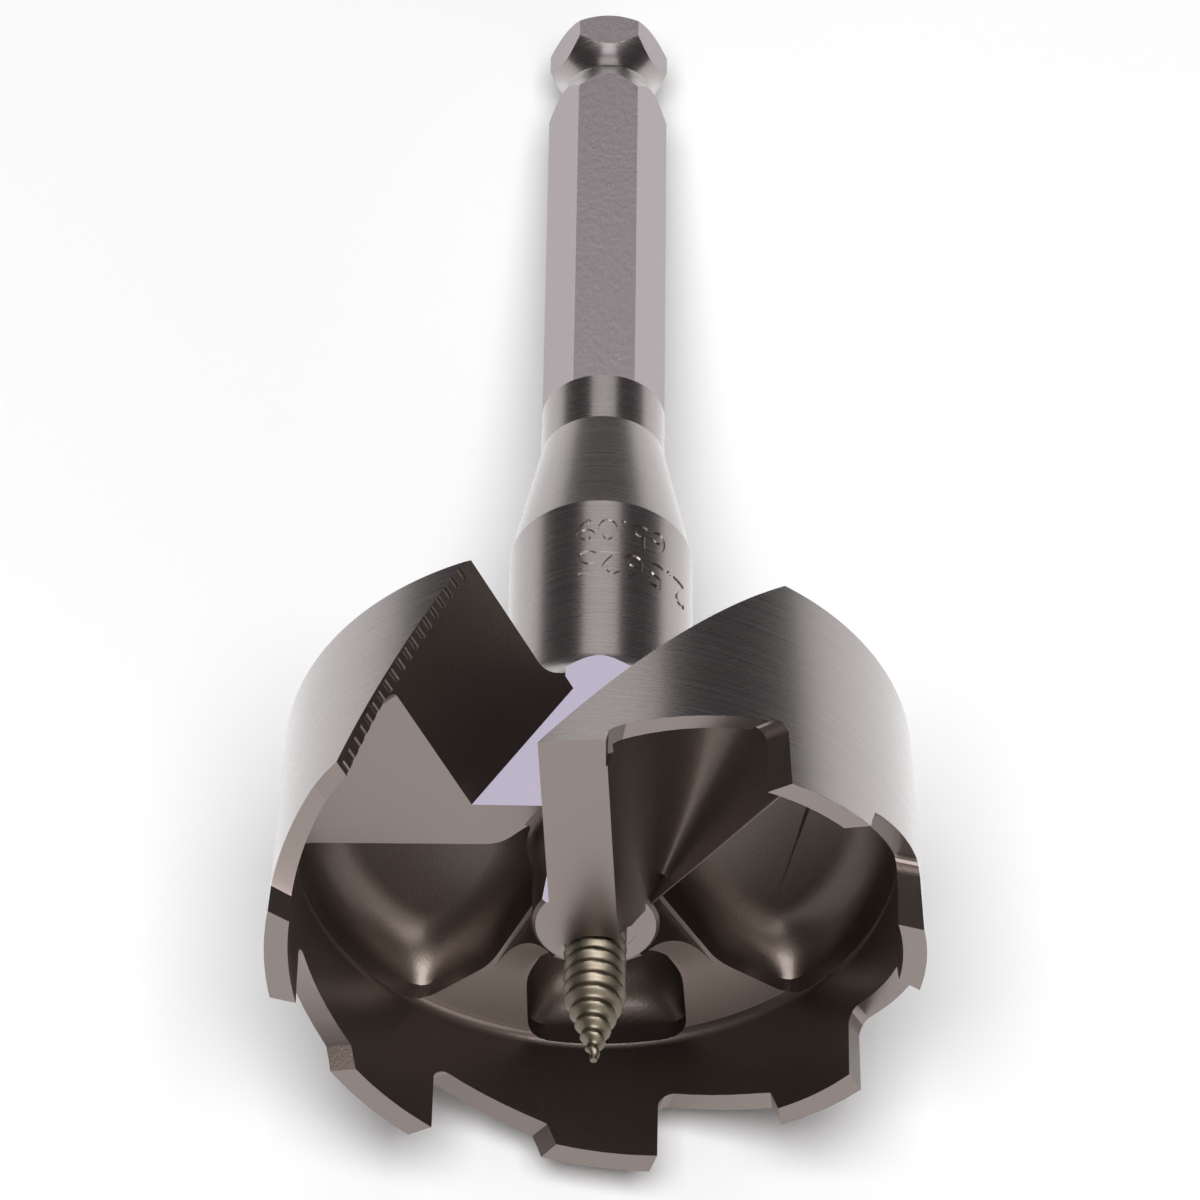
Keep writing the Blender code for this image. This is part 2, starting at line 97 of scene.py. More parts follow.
WEB_TIP_LEVEL = 1.5
WEB_CREST_ROUND = 0.22
WEB_SPREAD = 6.28
WEB_HEIGHT = 12.0
WEB_NARROWING = 0.35
HUB_SIDE_Y = -3.35
HUB_SIDE_LEAN = 0.222
WING_POINT = (-15.2, -11.7)
WING_TURN = 24.8
WING_LEAN = 0.77
HUB_FLAT_X = -3.4
HUB_FLAT_LEVEL = 28.8
TROUGH_DROP = 6.5   # how far the hollow round reaches down either side of the corner it fills
POCKET_DEPTH = 6.0
POCKET_ROUND = 4.4
POCKET_HUB_LAND = 0.8
POCKET_WALL_STEP = 0.15
LEFT_POCKET_START = -90.6
LEFT_POCKET_HOOK = 30.0
RIGHT_POCKET_START = 57.0
LEFT_RIB = -155.5
RIGHT_RIB = 150.0
RIB_WIDTH = 3.0
RIB_RUN = 15.0
SCREW_RADIUS = 2.5
SCREW_SHANK_TOP = 43.0
BORE_EASE = 0.3
THREAD_RADIUS = 3.1
THREAD_PITCH = 1.5
THREAD_DEPTH = 0.47
THREAD_STRAIGHT = -4.6
SCREW_TIP = -12.3
SCREW_TIP_RADIUS = 0.35
GRUB_LEVEL = 38.5
GRUB_RADIUS = 2.7
GRUB_RECESS = 0.6
GRUB_SOCKET = 3.0
CHATTER_COUNT = 26
STEPS = 240
CRISP_ANGLE = 7.0        # edges sharper than this stay crisp
BLACK_CRISP_ANGLE = 24.0   # the same between two as-forged faces


def direction(angle):
    """Unit vector in plan at an angle in degrees from -y towards +x."""
    return Vector((math.sin(math.radians(angle)), -math.cos(math.radians(angle)), 0.0))


def polar(radius, angle, z=0.0):
    spot = direction(angle) * radius
    return Vector((spot.x, spot.y, z))


def head_radius_at(z):
    return HEAD_RADIUS - HEAD_TAPER * z / HEAD_HEIGHT


def arc(centre_r, centre_z, radius, start, stop, steps=10):
    turns = [math.radians(start + (stop - start) * i / steps) for i in range(steps + 1)]
    return [(centre_r + radius * math.cos(t), centre_z + radius * math.sin(t)) for t in turns]


# modelling helpers: every piece is made in millimetres on the bit's axes and laid down at the end

def only(item):
    """Selects one object alone and makes it the active one."""
    bpy.ops.object.select_all(action="DESELECT")
    item.select_set(True)
    bpy.context.view_layer.objects.active = item


def named(name):
    item = bpy.context.object
    item.name = name
    return item


def tidy(item, merge=0.0005):
    """Merges doubles and turns every face outwards."""
    only(item)
    bpy.ops.object.mode_set(mode="EDIT")
    bpy.ops.mesh.select_all(action="SELECT")
    bpy.ops.mesh.remove_doubles(threshold=merge)
    bpy.ops.mesh.normals_make_consistent(inside=False)
    bpy.ops.object.mode_set(mode="OBJECT")
    return item


def drawn_line(name, points):
    """A plane pulled together into one point and extruded along a line of points."""
    bpy.ops.object.select_all(action="DESELECT")
    bpy.ops.mesh.primitive_plane_add(size=1.0)
    item = named(name)
    bpy.ops.object.mode_set(mode="EDIT")
    bpy.ops.mesh.select_all(action="SELECT")
    bpy.ops.mesh.merge(type="CENTER")
    bpy.ops.transform.translate(value=points[0])
    for here, there in zip(points, points[1:]):
        bpy.ops.mesh.extrude_vertices_move(TRANSFORM_OT_translate={"value": Vector(there) - Vector(here)})
    bpy.ops.mesh.select_all(action="SELECT")
    return item


def turned(name, profile, steps=STEPS):
    """A profile of (radius, z) spun round the bit's axis."""
    item = drawn_line(name, [(r, 0.0, z) for r, z in profile])
    bpy.ops.mesh.spin(steps=steps, angle=2 * math.pi, center=(0.0, 0.0, 0.0), axis=(0.0, 0.0, 1.0))
    bpy.ops.object.mode_set(mode="OBJECT")
    return tidy(item)


def slab(name, outline, thickness):
    """A flat outline of (x, y), filled and extruded to both sides of z = 0."""
    item = drawn_line(name, [(x, y, -thickness / 2) for x, y in outline])
    bpy.ops.mesh.edge_face_add()
    bpy.ops.mesh.select_all(action="SELECT")
    bpy.ops.mesh.extrude_region_move(TRANSFORM_OT_translate={"value": (0.0, 0.0, thickness)})
    bpy.ops.object.mode_set(mode="OBJECT")
    return tidy(item)


def rod(name, radius, length, middle, vertices=64, turn=(0.0, 0.0, 0.0)):
    bpy.ops.object.select_all(action="DESELECT")
    bpy.ops.mesh.primitive_cylinder_add(vertices=vertices, radius=radius, depth=length, location=middle,
                                        rotation=turn)
    item = named(name)
    settle(item)
    return item


def settle(item):
    """Applies an object's place to its mesh."""
    only(item)
    bpy.ops.object.transform_apply(location=True, rotation=True, scale=True)
    return item


def swept(name, rings):
    """A face extruded from ring to ring; every ring has four corners."""
    bpy.ops.object.select_all(action="DESELECT")
    bpy.ops.mesh.primitive_plane_add(size=1.0)
    item = named(name)
    bpy.ops.object.mode_set(mode="EDIT")
    bpy.ops.mesh.select_all(action="SELECT")
    mesh = bmesh.from_edit_mesh(item.data)
    mesh.faces.ensure_lookup_table()
    for vert, spot in zip(mesh.faces[0].verts, rings[0]):
        vert.co = spot
    for low, high in zip(rings, rings[1:]):
        bpy.ops.mesh.extrude_region_move()
        mesh = bmesh.from_edit_mesh(item.data)
        mesh.verts.ensure_lookup_table()
        for vert in [v for v in mesh.verts if v.select]:
            nearest = min(range(4), key=lambda i: (vert.co - low[i]).length)
            vert.co = high[nearest]
        bmesh.update_edit_mesh(item.data)
    bpy.ops.object.mode_set(mode="OBJECT")
    return tidy(item)


def boolean(target, tool, operation="DIFFERENCE", keep=False):
    """Joins, cuts or limits a piece with another, which is used up."""
    only(target)
    step = target.modifiers.new(operation.title(), "BOOLEAN")
    step.operation = operation
    step.object = tool
    step.solver = "EXACT"
    bpy.ops.object.modifier_apply(modifier=step.name)
    if not keep:
        bpy.data.objects.remove(tool, do_unlink=True)
    return target


def softened(item, width, segments=3, angle=35.0):
    only(item)
    step = item.modifiers.new("Soften", "BEVEL")
    step.width = width
    step.segments = segments
    step.limit_method = "ANGLE"
    step.angle_limit = math.radians(angle)
    bpy.ops.object.modifier_apply(modifier=step.name)
    return item


# body

def body_profile():
    """Half section of the body, from the shank's end down the outside and up the inside to the axis."""
    deep = NECK_RADIUS - GROOVE_RADIUS
    points = [(0.0, SHANK_END), (NECK_RADIUS - END_CHAMFER, SHANK_END), (NECK_RADIUS, SHANK_END - END_CHAMFER)]
    for i in range(25):
        reach = 1.0 - 2.0 * i / 24
        round_in = (1.0 - abs(reach) ** 2.2) ** 0.9 if reach > 0 else (1.0 - abs(reach) ** 1.2)
        points.append((NECK_RADIUS - round_in * deep, GROOVE_LEVEL + reach * GROOVE_HALF))
    points += [(NECK_RADIUS, CONE_TOP), (COLLAR_RADIUS, COLLAR_TOP)]
    points += arc(COLLAR_RADIUS + COLLAR_FILLET, HEAD_HEIGHT + COLLAR_FILLET, COLLAR_FILLET, 180, 270, 16)
    edge = 0.5
    points += [(head_radius_at(HEAD_HEIGHT) - edge, HEAD_HEIGHT),
               (head_radius_at(HEAD_HEIGHT - edge), HEAD_HEIGHT - edge),
               (HEAD_RADIUS, 0.0), (HEAD_RADIUS - WALL, 0.0)]
    points += arc(HEAD_RADIUS - WALL - FLOOR_FILLET, FLOOR_LEVEL - FLOOR_FILLET, FLOOR_FILLET, 0, 90, 14)
    foot = 1.4
    points += arc(BOSS_RADIUS + foot, FLOOR_LEVEL - foot, foot, 90, 180, 6)
    edge = 0.35
    return points + [(BOSS_RADIUS, BOSS_LEVEL + edge), (BOSS_RADIUS - edge, BOSS_LEVEL), (0.0, BOSS_LEVEL)]


def rim_levels():
    """Angle and level of the cut along the rim, from the blade round to the chip opening."""
    start = math.degrees(math.asin((BLADE_EDGE_X + BLADE_WIDTH) / HEAD_RADIUS))
    face = FIRST_TOOTH
    run = face - start
    pairs = [(start - 0.3, -0.4), (start + 0.15, 0.8), (start + 0.3, 1.3)]
    pairs += [(start + run * s, 1.4 + 6.4 * s ** 0.85) for s in (0.1, 0.2, 0.3, 0.4, 0.5, 0.6, 0.7, 0.8, 0.88)]
    pairs += rounded_root(face)
    for k in range(TOOTH_COUNT):
        face = FIRST_TOOTH + TOOTH_PITCH * k
        heel = face + LAND_ANGLE + STEP_ANGLE
        last = face + TOOTH_PITCH - 3.2
        pairs += [(face + LAND_ANGLE * s, LAND_RISE * s) for s in (0.0, 0.25, 0.5, 0.75, 1.0)]
        pairs += [(heel + (last - heel) * s, STEP_LEVEL + (ROOT_LEVEL - STEP_LEVEL) * s ** 0.9)
                  for s in (0.0, 0.04, 0.2, 0.4, 0.6, 0.8, 1.0)]
        if k < TOOTH_COUNT - 1:
            pairs += rounded_root(face + TOOTH_PITCH)
    return pairs + [(last + 8.0, ROOT_LEVEL + 0.4)]


def rounded_root(face):
    """The rounded corner between a tooth's face and the hollow in front of it."""
    size = 1.5
    wide = math.degrees(size / HEAD_RADIUS)
    return [(face - wide * (1.0 - math.sin(t)), ROOT_LEVEL - size * (1.0 - math.cos(t)))
            for t in [math.radians(15 * i) for i in range(6)]]


def rim_cut():
    """Everything below the teeth, swept round the rim with a skew, so that each tooth's face leans.

    The skew grows from the blade to the first tooth, and a small lead keeps the blade's corner whole."""
    inside, outside, below = 1.3, 3.0, -3.0
    inner, outer = HEAD_RADIUS - WALL - inside, HEAD_RADIUS + outside
    rings = []
    for angle, z in rim_levels():
        skew = TOOTH_SKEW / WALL * min(1.0, angle / FIRST_TOOTH)
        lead = 0.6 * max(0.0, 1.0 - angle / 5.0)
        behind, ahead = angle - skew * (WALL + inside) + lead, angle + skew * outside
        rings.append([polar(inner, behind, below), polar(outer, ahead, below), polar(outer, ahead, z),
                      polar(inner, behind, z)])
    return swept("rim_cut", rings)


def opening_sides():
    """Point and outward normal of the chip opening's three sides: the wing, the rake and the hub."""
    trace = direction(180.0 - WING_TURN)
    return [(Vector((*WING_POINT, FLOOR_LEVEL)), Vector((-trace.y, trace.x, WING_LEAN)).normalized()),
            (Vector((BLADE_EDGE_X, -HEAD_RADIUS, 0.0)), Vector((1.0, -BLADE_SKEW, -RAKE_LEAN)).normalized()),
            (Vector((0.0, HUB_SIDE_Y, BOSS_LEVEL)), Vector((0.0, 1.0, HUB_SIDE_LEAN)).normalized())]


def cut_back(item, sides):
    """Bisects a closed piece along its sides, each a point and an outward normal, and closes the cuts."""
    only(item)
    bpy.ops.object.mode_set(mode="EDIT")
    for point, outward in sides:
        bpy.ops.mesh.select_all(action="SELECT")
        bpy.ops.mesh.bisect(plane_co=point, plane_no=outward, use_fill=True, clear_outer=True)
    bpy.ops.object.mode_set(mode="OBJECT")
    return tidy(item)


def opening_block(name, left, bottom, sides):
    """A cube from a left side and a bottom level, cut back to its leaning sides."""
    right, top = 70.0, HEAD_HEIGHT + COLLAR_FILLET + 3.0
    bpy.ops.object.select_all(action="DESELECT")
    bpy.ops.mesh.primitive_cube_add(size=1.0, location=((right + left) / 2, 0.0, (top + bottom) / 2),
                                    scale=(right - left, 2 * right, top - bottom))
    return cut_back(settle(named(name)), sides)


def blade():
    """The cutter bar, with a hollow back that sweeps up into the floor."""
    left, right, deep = BLADE_EDGE_X - 0.1, BLADE_EDGE_X + BLADE_WIDTH, FLOOR_LEVEL + 4.0
    section = [(left, 0.0)]
    section += [(right + BACK_RUN * (i / 24) ** 1.5, FLOOR_LEVEL * i / 24) for i in range(25)]
    section += [(right + BACK_RUN, deep), (left + RAKE_LEAN * deep, deep)]
    length = HEAD_RADIUS - BLADE_END_RADIUS + 2.0
    item = slab("blade", section, length)
    item.rotation_euler = (math.pi / 2, 0.0, -math.atan(BLADE_SKEW))
    middle = HEAD_RADIUS - length / 2
    item.location = (BLADE_SKEW * (HEAD_RADIUS - middle), -middle, 0.0)
    start, stop = crest_line()
    return cut_back(settle(item), [(start, Vector((start.y - stop.y, stop.x - start.x, 0.0)))])


def crest_line():
    """Where the web's crest starts in the boss and ends at the first tooth."""
    return (polar(BOSS_RADIUS - 1.0, WEB_START_ANGLE, BOSS_LEVEL + 0.35),
            polar(HEAD_RADIUS - WALL, WEB_ANGLE, WEB_TIP_LEVEL))


def web_half(depth):
    """Half of the web's width at a depth below its crest's round."""
    return WEB_CREST_ROUND + WEB_SPREAD * depth ** 1.8


def web():
    """The hollow ground web whose crest runs from the boss to the first tooth; it narrows towards the boss."""
    start, stop = crest_line()
    run = stop - start
    round_steps, steps = 5, 16
    half = [(WEB_CREST_ROUND * math.sin(t), WEB_CREST_ROUND - WEB_CREST_ROUND * math.cos(t))
            for t in [math.radians(18 * i) for i in range(round_steps)]]
    half += [(web_half(i / steps), WEB_HEIGHT * i / steps) for i in range(1, steps + 1)] + [(3.25, 16.5)]
    section = half + [(-x, y) for x, y in half[::-1]]
    item = slab("web", section, run.length + 1.0)
    for vert in item.data.vertices:
        if vert.co.z < 0.0:
            vert.co.x *= WEB_NARROWING
    along = run.normalized()
    across = along.cross(Vector((0.0, 0.0, 1.0))).normalized()
    upright = along.cross(across)
    if upright.z < 0:
        across, upright = -across, -upright
    item.rotation_euler = Matrix((across, upright, across.cross(upright))).transposed().to_euler()
    item.location = (start + stop) / 2
    return settle(item)


def rib(name, angle):
    """A spoke whose edge sweeps from the boss down to the floor."""
    top, start, foot = HEAD_HEIGHT - 4.0, BOSS_RADIUS + 0.3, BOSS_LEVEL + 0.5
    section = [(start - 2.0, top), (start - 2.0, foot)]
    section += [(start + RIB_RUN * i / 16, foot + (FLOOR_LEVEL - foot) * (1.0 - (1.0 - i / 16) ** 2))
                for i in range(17)]
    section.append((start + RIB_RUN, top))
    item = slab(name, section, RIB_WIDTH)
    item.rotation_euler = (math.pi / 2, 0.0, math.radians(angle - 90.0))
    return settle(item)


def rib_side(angle, side):
    """Radius and angle pairs along a rib's side, flaring to a flat triangle at the wall."""
    half = RIB_WIDTH / 2 + 0.5
    pairs = [(r, angle + side * math.degrees(math.asin(half / r)))
             for r in (BOSS_RADIUS + POCKET_HUB_LAND, BOSS_RADIUS + RIB_RUN)]
    return pairs + [(pocket_reach(), angle + side * 11.5)]


def pocket_reach():
    return HEAD_RADIUS - WALL - POCKET_WALL_STEP


def even_steps(points, step):
    """A closed outline with a point at least every step."""
    dense = []
    for here, there in zip(points, points[1:] + points[:1]):
        count = max(1, round((there - here).length / step))
        dense += [here.lerp(there, i / count) for i in range(count)]
    return dense


def eased(points, rounds):
    """Wears an outline's corners round by averaging each point with its neighbours."""
    for _ in range(rounds):
        points = [(a + 2 * b + c) / 4 for a, b, c in zip(points[-1:] + points[:-1], points, points[1:] + points[:1])]
    return points


def drawn_in(points, width):
    """Moves an outline inwards; its points run anticlockwise."""
    moved = []
    for before, here, after in zip(points[-1:] + points[:-1], points, points[1:] + points[:1]):
        along = (after - before).normalized()
        moved.append(here + Vector((-along.y, along.x)) * width)
    return moved


def lofted(name, rings):
    """A ring of points filled, then extruded ring by ring."""
    item = drawn_line(name, rings[0])
    bpy.ops.mesh.edge_face_add()
    for low, high in zip(rings, rings[1:]):
        bpy.ops.mesh.extrude_region_move()
        mesh = bmesh.from_edit_mesh(item.data)
        for vert in [v for v in mesh.verts if v.select]:
            nearest = min(range(len(low)), key=lambda i: (vert.co - Vector(low[i])).length_squared)
            vert.co = high[nearest]
        bmesh.update_edit_mesh(item.data)
    bpy.ops.object.mode_set(mode="OBJECT")
    return tidy(item, 0.0001)


def bowl(name, outline, bottom, top, radius):
    """A block with a rounded, drawn in bottom: an outline filled, then extruded ring by ring."""
    plan = eased(even_steps(outline, 0.9), 3)
    rings = [(plan, bottom), (plan, top - radius)]
    for k in range(1, 13):
        before, now = math.radians(7.5 * (k - 1)), math.radians(7.5 * k)
        plan = drawn_in(eased(plan, 5), radius * (math.cos(before) - math.cos(now)))
        rings.append((plan, top - radius + radius * math.sin(now)))
    return lofted(name, [[(*point, level) for point in plan] for plan, level in rings])


def crossing(first, second, low, high):
    """Level at which the first width, larger at the low level, comes down to the second."""
    for _ in range(30):
        middle = (low + high) / 2
        low, high = (middle, high) if first(middle) > second(middle) else (low, middle)
    return low


def hollow_round(back, flank, corner, drop):
    """A corner's filling in section: a curve that leaves both faces smoothly, closed inside the steel."""
    level, half = corner - drop, corner - drop / 2
    slopes = [(side(level + 0.01) - side(level)) / 0.01 for side in (back, flank)]
    rise = (back(level) - flank(level)) / (slopes[1] - slopes[0])
    ends = [Vector((back(level) + 0.03, level)), Vector((back(level) + slopes[0] * rise, level + rise)),
            Vector((flank(level) - 0.03, level))]
    curve = [ends[0] * (1 - u) ** 2 + ends[1] * 2 * u * (1 - u) + ends[2] * u * u
             for u in [k / 14 for k in range(15)]]
    return curve + [Vector((flank(half) * 0.6, half)), Vector((back(corner), corner + 1.0)),
                    Vector((back(half) + 0.6, half))]


def trough_round():
    """Fills the corner between the blade's back and the web with a hollow round, section by section."""
    start, stop = crest_line()
    run = stop - start
    ahead = run.xy.normalized()
    left = Vector((ahead.y, -ahead.x))
    rings = []
    for t in [0.16 + 0.065 * i for i in range(15)]:
        crest = start + run * t

        def back(z):
            """Distance from the crest to the blade's back at a level."""
            gap = crest.x - BLADE_EDGE_X - BLADE_WIDTH - BLADE_SKEW * (HEAD_RADIUS + crest.y)
            return (gap - BACK_RUN * (z / FLOOR_LEVEL) ** 1.5) / (BLADE_SKEW * left.y - left.x)

        def flank(z):
            """Distance from the crest to the web's flank at a level."""
            narrowed = WEB_NARROWING + (1.0 - WEB_NARROWING) * min(1.0, t)
            return web_half(max(0.0, z - crest.z) / WEB_HEIGHT) * narrowed

        if back(crest.z) < flank(crest.z) + 0.8:
            continue
        corner = crossing(back, flank, crest.z, FLOOR_LEVEL)
        section = hollow_round(back, flank, corner, min(TROUGH_DROP, 0.6 * (corner - crest.z)))
        rings.append([(crest.x + left.x * across, crest.y + left.y * across, z) for across, z in section])
    return lofted("trough_round", rings)


def pocket(name, first, last):
    """A rounded recess pressed into the floor between two sides, given from the boss outwards."""
    outline = list(first)
    span = (last[-1][1] - first[-1][1]) % 360.0
    steps = max(6, round(span / 4.0))
    outline += [(pocket_reach(), first[-1][1] + span * i / steps) for i in range(1, steps)]
    outline += last[::-1]
    span = (last[0][1] - first[0][1]) % 360.0
    steps = max(3, round(span / 8.0))
    outline += [(first[0][0], first[0][1] + span * (steps - i) / steps) for i in range(1, steps)]
    plan = [polar(radius, angle).xy for radius, angle in outline]
    return bowl(name, plan, FLOOR_LEVEL - POCKET_DEPTH, FLOOR_LEVEL + POCKET_DEPTH, POCKET_ROUND)


def plain_side(angle, hook=0.0):
    """Radius and angle pairs along a straight side; a hook carries its inner end on round the boss."""
    near = BOSS_RADIUS + POCKET_HUB_LAND
    pairs = [(near, angle + hook), (near + 2.5, angle)] if hook else [(near, angle)]
    return pairs + [(pocket_reach(), angle)]


def shank_flats():
    """A sleeve with a hexagonal hole; what it cuts away leaves the shank's flats."""
    length = SHANK_END - HEX_START + 3.0
    middle = (0.0, 0.0, HEX_START + length / 2)
    sleeve = rod("shank_flats", NECK_RADIUS + 4.0, length, middle, 48)
    core = rod("hexagon", HEX_FLATS / math.sqrt(3.0), length + 4.0, middle, 6, (0.0, 0.0, math.radians(30.0)))
    return boolean(sleeve, core)


def rough_body():
    """The whole body with its joins and cuts. The round cuts come before the chip opening's leaning ones."""
    steel = turned("bit_body_fine", body_profile())
    sides = [(rib_side(LEFT_RIB, 1), plain_side(LEFT_POCKET_START, LEFT_POCKET_HOOK)),
             (rib_side(RIGHT_RIB, 1), rib_side(LEFT_RIB, -1)),
             (plain_side(RIGHT_POCKET_START), rib_side(RIGHT_RIB, -1))]
    for i, (first, last) in enumerate(sides):
        boolean(steel, pocket("pocket_%d" % i, first, last))
    core = rod("wall_core", HEAD_RADIUS - WALL / 2, 80.0, (0.0, 0.0, 0.0), STEPS)
    for piece in (rib("left_rib", LEFT_RIB), rib("right_rib", RIGHT_RIB), web(), blade(), trough_round()):
        if piece.name in ("web", "blade", "trough_round"):
            boolean(piece, core, "INTERSECT", keep=True)
        boolean(steel, piece, "UNION")
    bpy.data.objects.remove(core, do_unlink=True)
    boolean(steel, rod("blade_end", BLADE_END_RADIUS, BOSS_LEVEL + 3.03, (0.0, 0.0, (BOSS_LEVEL - 2.97) / 2)))
    depth = SCREW_SHANK_TOP + BORE_EASE
    boolean(steel, rod("screw_bore", SCREW_RADIUS + BORE_EASE, depth, (0.0, 0.0, depth / 2)))
    boolean(steel, opening_block("chip_opening", -70.0, -8.0, opening_sides()))
    boolean(steel, opening_block("hub_flat", HUB_FLAT_X, HUB_FLAT_LEVEL, opening_sides()[2:]))
    boolean(steel, rim_cut())
    reach = COLLAR_RADIUS + 3.0
    boolean(steel, rod("grub_hole", GRUB_RADIUS + BORE_EASE, reach, (0.0, reach / 2, GRUB_LEVEL), 48,
                       (-math.pi / 2, 0.0, 0.0)))
    boolean(steel, shank_flats())
    return steel


def lay_down(item):
    """Turns a finished piece from its own axes in millimetres to its place on the bench."""
    item.data.transform(PLACE)
    item.data.update()
    return item


def nearest_point_on_wing(radius, level):
    """Where the wing's cut crosses a radius at a level, on the side of the teeth."""
    trace = direction(180.0 - WING_TURN)
    shift = WING_LEAN * (level - FLOOR_LEVEL)
    base = Vector((WING_POINT[0] + trace.y * shift, WING_POINT[1] - trace.x * shift, 0.0))
    along = base.dot(trace)
    run = -along - math.sqrt(max(0.0, along * along - base.length_squared + radius * radius))
    spot = base + trace * run
    return Vector((spot.x, spot.y, level))


def chatter_marks(body):
    """The cutter's chatter: a row of shallow grooves across the inner half of the wing's cut edge."""
    plane = opening_sides()[0][1]
    inner = HEAD_RADIUS - WALL
    marks = []
    for i in range(CHATTER_COUNT):
        level = 1.6 + 24.6 * i / (CHATTER_COUNT - 1)
        spot = nearest_point_on_wing(inner + 0.55, level)
        along = (nearest_point_on_wing(inner + 1.1, level) - nearest_point_on_wing(inner, level)).normalized()
        mark = rod("mark", 0.42, 1.7, (0.0, 0.0, 0.0), 16)
        mark.data.transform(along.to_track_quat("Z", "Y").to_matrix().to_4x4())
        mark.data.transform(Matrix.Translation(spot - plane * 0.28))
        marks.append(mark)
    bpy.ops.object.select_all(action="DESELECT")
    for mark in marks:
        mark.select_set(True)
    bpy.context.view_layer.objects.active = marks[0]
    bpy.ops.object.join()
    return boolean(body, marks[0])


def stamped(text, level, middle, size=4.5, depth=0.14):
    """A plain number as a tool for stamping: flat text, bent round the collar, upside down as on the bit."""
    bpy.ops.object.select_all(action="DESELECT")
    bpy.ops.object.text_add(location=(0.0, 0.0, 0.0))
    item = named("stamp")
    item.data.body = text
    item.data.size = size
    item.data.align_x = "CENTER"
    item.data.align_y = "CENTER"
    item.data.offset = 0.006
    item.data.extrude = 1.0
    item.data.resolution_u = 4
    bpy.ops.object.convert(target="MESH")
    tidy(item, 0.005)
    bpy.ops.object.mode_set(mode="EDIT")
    half, step = max(abs(vert.co.x) for vert in item.data.vertices), 0.35
    for i in range(int(2 * half / step) + 1):
        bpy.ops.mesh.select_all(action="SELECT")
        bpy.ops.mesh.bisect(plane_co=(-half + step * i, 0.0, 0.0), plane_no=(1.0, 0.0, 0.0))
    bpy.ops.object.mode_set(mode="OBJECT")
    for vert in item.data.vertices:
        x, y, out = vert.co
        radius = COLLAR_RADIUS - depth if out < 0 else COLLAR_RADIUS + 1.0
        turn = middle - math.degrees(x / COLLAR_RADIUS)
        vert.co = polar(radius, turn, level - y)
    return tidy(item, 0.001)


def thread_radius(z, turn):
    """Radius of the feed screw at a level and an angle: a ridge that winds towards the tip."""
    outer = THREAD_RADIUS
    if z < THREAD_STRAIGHT:
        rise = (z - SCREW_TIP) / (THREAD_STRAIGHT - SCREW_TIP)
        outer = SCREW_TIP_RADIUS + (THREAD_RADIUS - SCREW_TIP_RADIUS) * rise
    valley = abs(2.0 * ((z / THREAD_PITCH + turn / 360.0) % 1.0) - 1.0)
    valley = min(1.0, max(0.0, (valley - 0.08) / 0.80))
    fade = min(1.0, max(0.0, (BOSS_LEVEL - 0.8 - z) / THREAD_PITCH), max(0.0, (z - SCREW_TIP) / THREAD_PITCH))
    return outer - THREAD_DEPTH * valley * fade


def feed_screw():
    """A cylinder cut into rings, whose thread is raised ring by ring; its shank goes up the hub's bore."""
    start = BOSS_LEVEL - 0.3
    screw = rod("feed_screw_fine", THREAD_RADIUS, start - SCREW_TIP, (0.0, 0.0, (start + SCREW_TIP) / 2), 72)
    bpy.ops.object.mode_set(mode="EDIT")
    bpy.ops.mesh.select_all(action="DESELECT")
    mesh = bmesh.from_edit_mesh(screw.data)
    for edge in mesh.edges:
        edge.select = abs(edge.verts[0].co.z - edge.verts[1].co.z) > 1.0
    bmesh.update_edit_mesh(screw.data)
    bpy.ops.mesh.subdivide(number_cuts=int((start - SCREW_TIP) / THREAD_PITCH * 22))
    bpy.ops.object.mode_set(mode="OBJECT")
    for vert in screw.data.vertices:
        turn = math.degrees(math.atan2(vert.co.x, -vert.co.y))
        vert.co = polar(thread_radius(vert.co.z, turn), turn, vert.co.z)
    bpy.ops.object.mode_set(mode="EDIT")
    bpy.ops.mesh.select_all(action="DESELECT")
    mesh = bmesh.from_edit_mesh(screw.data)
    for face in mesh.faces:
        face.select = all(vert.co.z > start - 0.01 for vert in face.verts)
    bmesh.update_edit_mesh(screw.data)
    bpy.ops.mesh.inset(thickness=THREAD_RADIUS - SCREW_RADIUS)
    bpy.ops.mesh.extrude_region_move(TRANSFORM_OT_translate={"value": (0.0, 0.0, SCREW_SHANK_TOP - start)})
    bpy.ops.object.mode_set(mode="OBJECT")
    bpy.ops.object.shade_smooth_by_angle(angle=math.radians(50))
    return tidy(screw)


def set_screw():
    """The grub screw, with its hexagon socket, set below the collar's surface."""
    inner, outer = SCREW_RADIUS + BORE_EASE, COLLAR_RADIUS - GRUB_RECESS
    turn = (-math.pi / 2, 0.0, 0.0)
    screw = rod("set_screw_fine", GRUB_RADIUS, outer - inner, (0.0, (inner + outer) / 2, GRUB_LEVEL), 64, turn)
    softened(screw, 0.35, 3)
    boolean(screw, rod("socket", GRUB_SOCKET / math.sqrt(3.0), 4.4, (0.0, outer, GRUB_LEVEL), 6, turn))
    only(screw)
    bpy.ops.object.shade_smooth_by_angle(angle=math.radians(25))
    return screw


